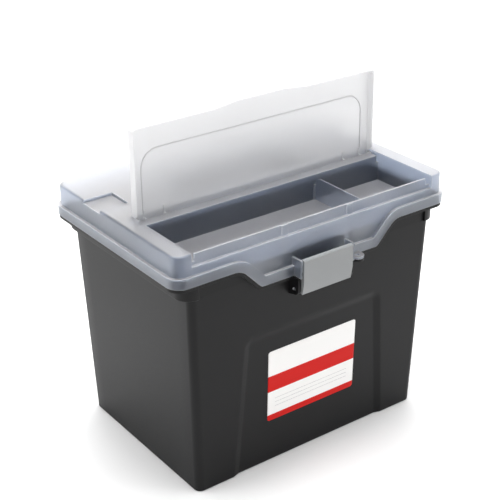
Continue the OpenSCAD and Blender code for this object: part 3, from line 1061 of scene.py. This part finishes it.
@dataclass
class Label:
    """The paper label in the tub's front panel."""

    corner: float = 3 * MM
    thickness: float = 0.3 * MM
    columns: int = 60
    rows: int = 44

    def build(self) -> list[bpy.types.Object]:
        """Makes the label: a leaning sheet whose ends are drawn in round the corners.

        A row at height s, from -1 to 1, is as wide as the label less r - sqrt(r^2 - d^2), where
        d is how far the row lies inside the corner's zone.

        Returns:
            The piece, in a list.
        """
        low, high = (np.array(v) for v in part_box("label"))
        half_l, half_h = (high[0] - low[0]) / 2, (high[2] - low[2]) / 2
        mid_z = (high[2] + low[2]) / 2
        bend = self.corner * (1 - np.cos(np.linspace(0, math.pi / 2, 9)))
        z = np.concatenate([
            -half_h + bend, np.linspace(-half_h + self.corner, half_h - self.corner, self.rows)[1:-1],
            half_h - bend[::-1],
        ])
        inside = np.clip(np.abs(z) - (half_h - self.corner), 0, self.corner)
        half = half_l - self.corner + np.sqrt(self.corner**2 - inside**2)
        across = np.linspace(-1, 1, self.columns)
        points = np.empty((len(z), self.columns, 3))
        points[..., 0] = half[:, None] * across
        points[..., 2] = (mid_z + z)[:, None]
        slope = (high[1] - low[1] - self.thickness) / (2 * half_h)
        points[..., 1] = high[1] - slope * (points[..., 2] - low[2])
        sheet = grid_mesh("label_sheet", points)
        if sheet.data.polygons[0].normal.y > 0:
            sheet.data.flip_normals()
        thick = sheet.modifiers.new("paper", "SOLIDIFY")
        thick.thickness = self.thickness
        thick.offset = 1.0
        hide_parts("label")
        paper = PrintedLabelPaper(
            "Coated label paper, two bands of ink", "#FAF9F7", "#D0120A", "#A9A9AB", low[2], high[2]
        )
        return [dress(sheet, paper.material(), "tub")]


# ---------- studio ----------


@dataclass(frozen=True)
class View:
    """Where the photograph was taken from."""

    eye: tuple[float, float, float] = (-0.7216, -0.9851, 0.7989)
    target: tuple[float, float, float] = (0.0820, 0.1162, 0.1310)
    roll_deg: float = -0.594
    focal_share: float = 1215.16 / 500

    def place(self) -> bpy.types.Object:
        """Makes the camera.

        Returns:
            The camera, which is the scene's own from here on.
        """
        data = bpy.data.cameras.new("photograph")
        data.sensor_width = 36.0
        data.lens = 36.0 * self.focal_share
        data.clip_end = 50.0
        eye, ahead = Vector(self.eye), (Vector(self.target) - Vector(self.eye)).normalized()
        right = ahead.cross(Vector((0, 0, 1))).normalized()
        up = right.cross(ahead)
        roll = math.radians(self.roll_deg)
        tilted = right * math.cos(roll) + up * math.sin(roll)
        upright = up * math.cos(roll) - right * math.sin(roll)
        camera = bpy.data.objects.new("photograph", data)
        turn = Matrix((tilted, upright, -ahead)).transposed().to_4x4()
        camera.matrix_world = Matrix.Translation(eye) @ turn
        bpy.context.scene.collection.objects.link(camera)
        bpy.context.scene.camera = camera
        return camera


@dataclass(frozen=True)
class SoftBox:
    """One large soft light that faces the box."""

    name: str
    place: tuple[float, float, float]
    size: float
    watts: float
    aim: tuple[float, float, float] = (0.0, 0.0, 0.15)

    def hang(self) -> bpy.types.Object:
        """Makes the light.

        Returns:
            The light object.
        """
        data = bpy.data.lights.new(self.name, "AREA")
        data.shape = "DISK"
        data.size = self.size
        data.energy = self.watts
        light = bpy.data.objects.new(self.name, data)
        light.location = self.place
        ahead = Vector(self.aim) - Vector(self.place)
        light.rotation_euler = ahead.to_track_quat("-Z", "Y").to_euler()
        bpy.context.scene.collection.objects.link(light)
        return light


@dataclass(frozen=True)
class Studio:
    """A white paper floor, a pale room that is dark on one side, and four soft lights."""

    floor_half: float = 12.0
    room_light: float = 0.5
    room_dark: float = 0.1
    dark_side: tuple[float, float, float] = (-0.6, -0.8, 0.0)
    dusk_starts: float = 0.3
    dusk_ends: float = 0.95

    def build(self) -> None:
        """Makes the floor, the lights and the world."""
        half = self.floor_half
        corners = np.array([[[x, y, 0.0] for x in (-half, half)] for y in (-half, half)])
        floor = grid_mesh("studio_floor", corners)
        if floor.data.polygons[0].normal.z < 0:
            floor.data.flip_normals()
        floor.data.materials.append(StudioPaper("White background paper", "#FAFAFA").material())
        for box in (
            SoftBox("left soft box", (-2.1, 0.9, 1.1), 1.3, 14.0),
            SoftBox("right soft box", (2.0, -2.2, 1.1), 1.3, 16.0),
            SoftBox("back soft box", (1.3, 1.9, 1.3), 2.0, 14.0),
            SoftBox("top soft box", (0.1, 0.2, 2.4), 2.4, 84.0),
        ):
            box.hang()
        world = bpy.data.worlds.new("studio")
        world.use_nodes = True
        tree = world.node_tree
        tree.nodes.clear()
        # the room is darkest behind the photographer, so the corner that faces that way stays dark
        coords = add_node(tree, "ShaderNodeTexCoord")
        toward = add_node(
            tree,
            "ShaderNodeVectorMath",
            {"operation": "DOT_PRODUCT", "1": self.dark_side},
            {"0": coords.outputs["Generated"]},
        )
        level = add_node(
            tree,
            "ShaderNodeMapRange",
            {
                "From Min": self.dusk_starts,
                "From Max": self.dusk_ends,
                "To Min": self.room_light,
                "To Max": self.room_dark,
            },
            {"Value": toward.outputs["Value"]},
        )
        glow = add_node(
            tree,
            "ShaderNodeBackground",
            {"Color": linear("#FFFFFF")},
            {"Strength": level.outputs["Result"]},
        )
        out = add_node(tree, "ShaderNodeOutputWorld")
        tree.links.new(glow.outputs["Background"], out.inputs["Surface"])
        bpy.context.scene.world = world
        bpy.context.scene.view_settings.view_transform = "Standard"


def main() -> None:
    """Builds the box, the studio and the view."""
    logging.basicConfig(level=logging.INFO, format="%(name)s: %(message)s")
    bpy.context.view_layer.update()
    View().place()
    Studio().build()
    for part in (Tub(), Lid(), TrayCover(), Latch(), Handle(), RearHinges(), Label()):
        pieces = part.build()
        LOG.info("%s: %s", type(part).__name__, ", ".join(p.name for p in pieces))


if __name__ == "__main__":
    main()
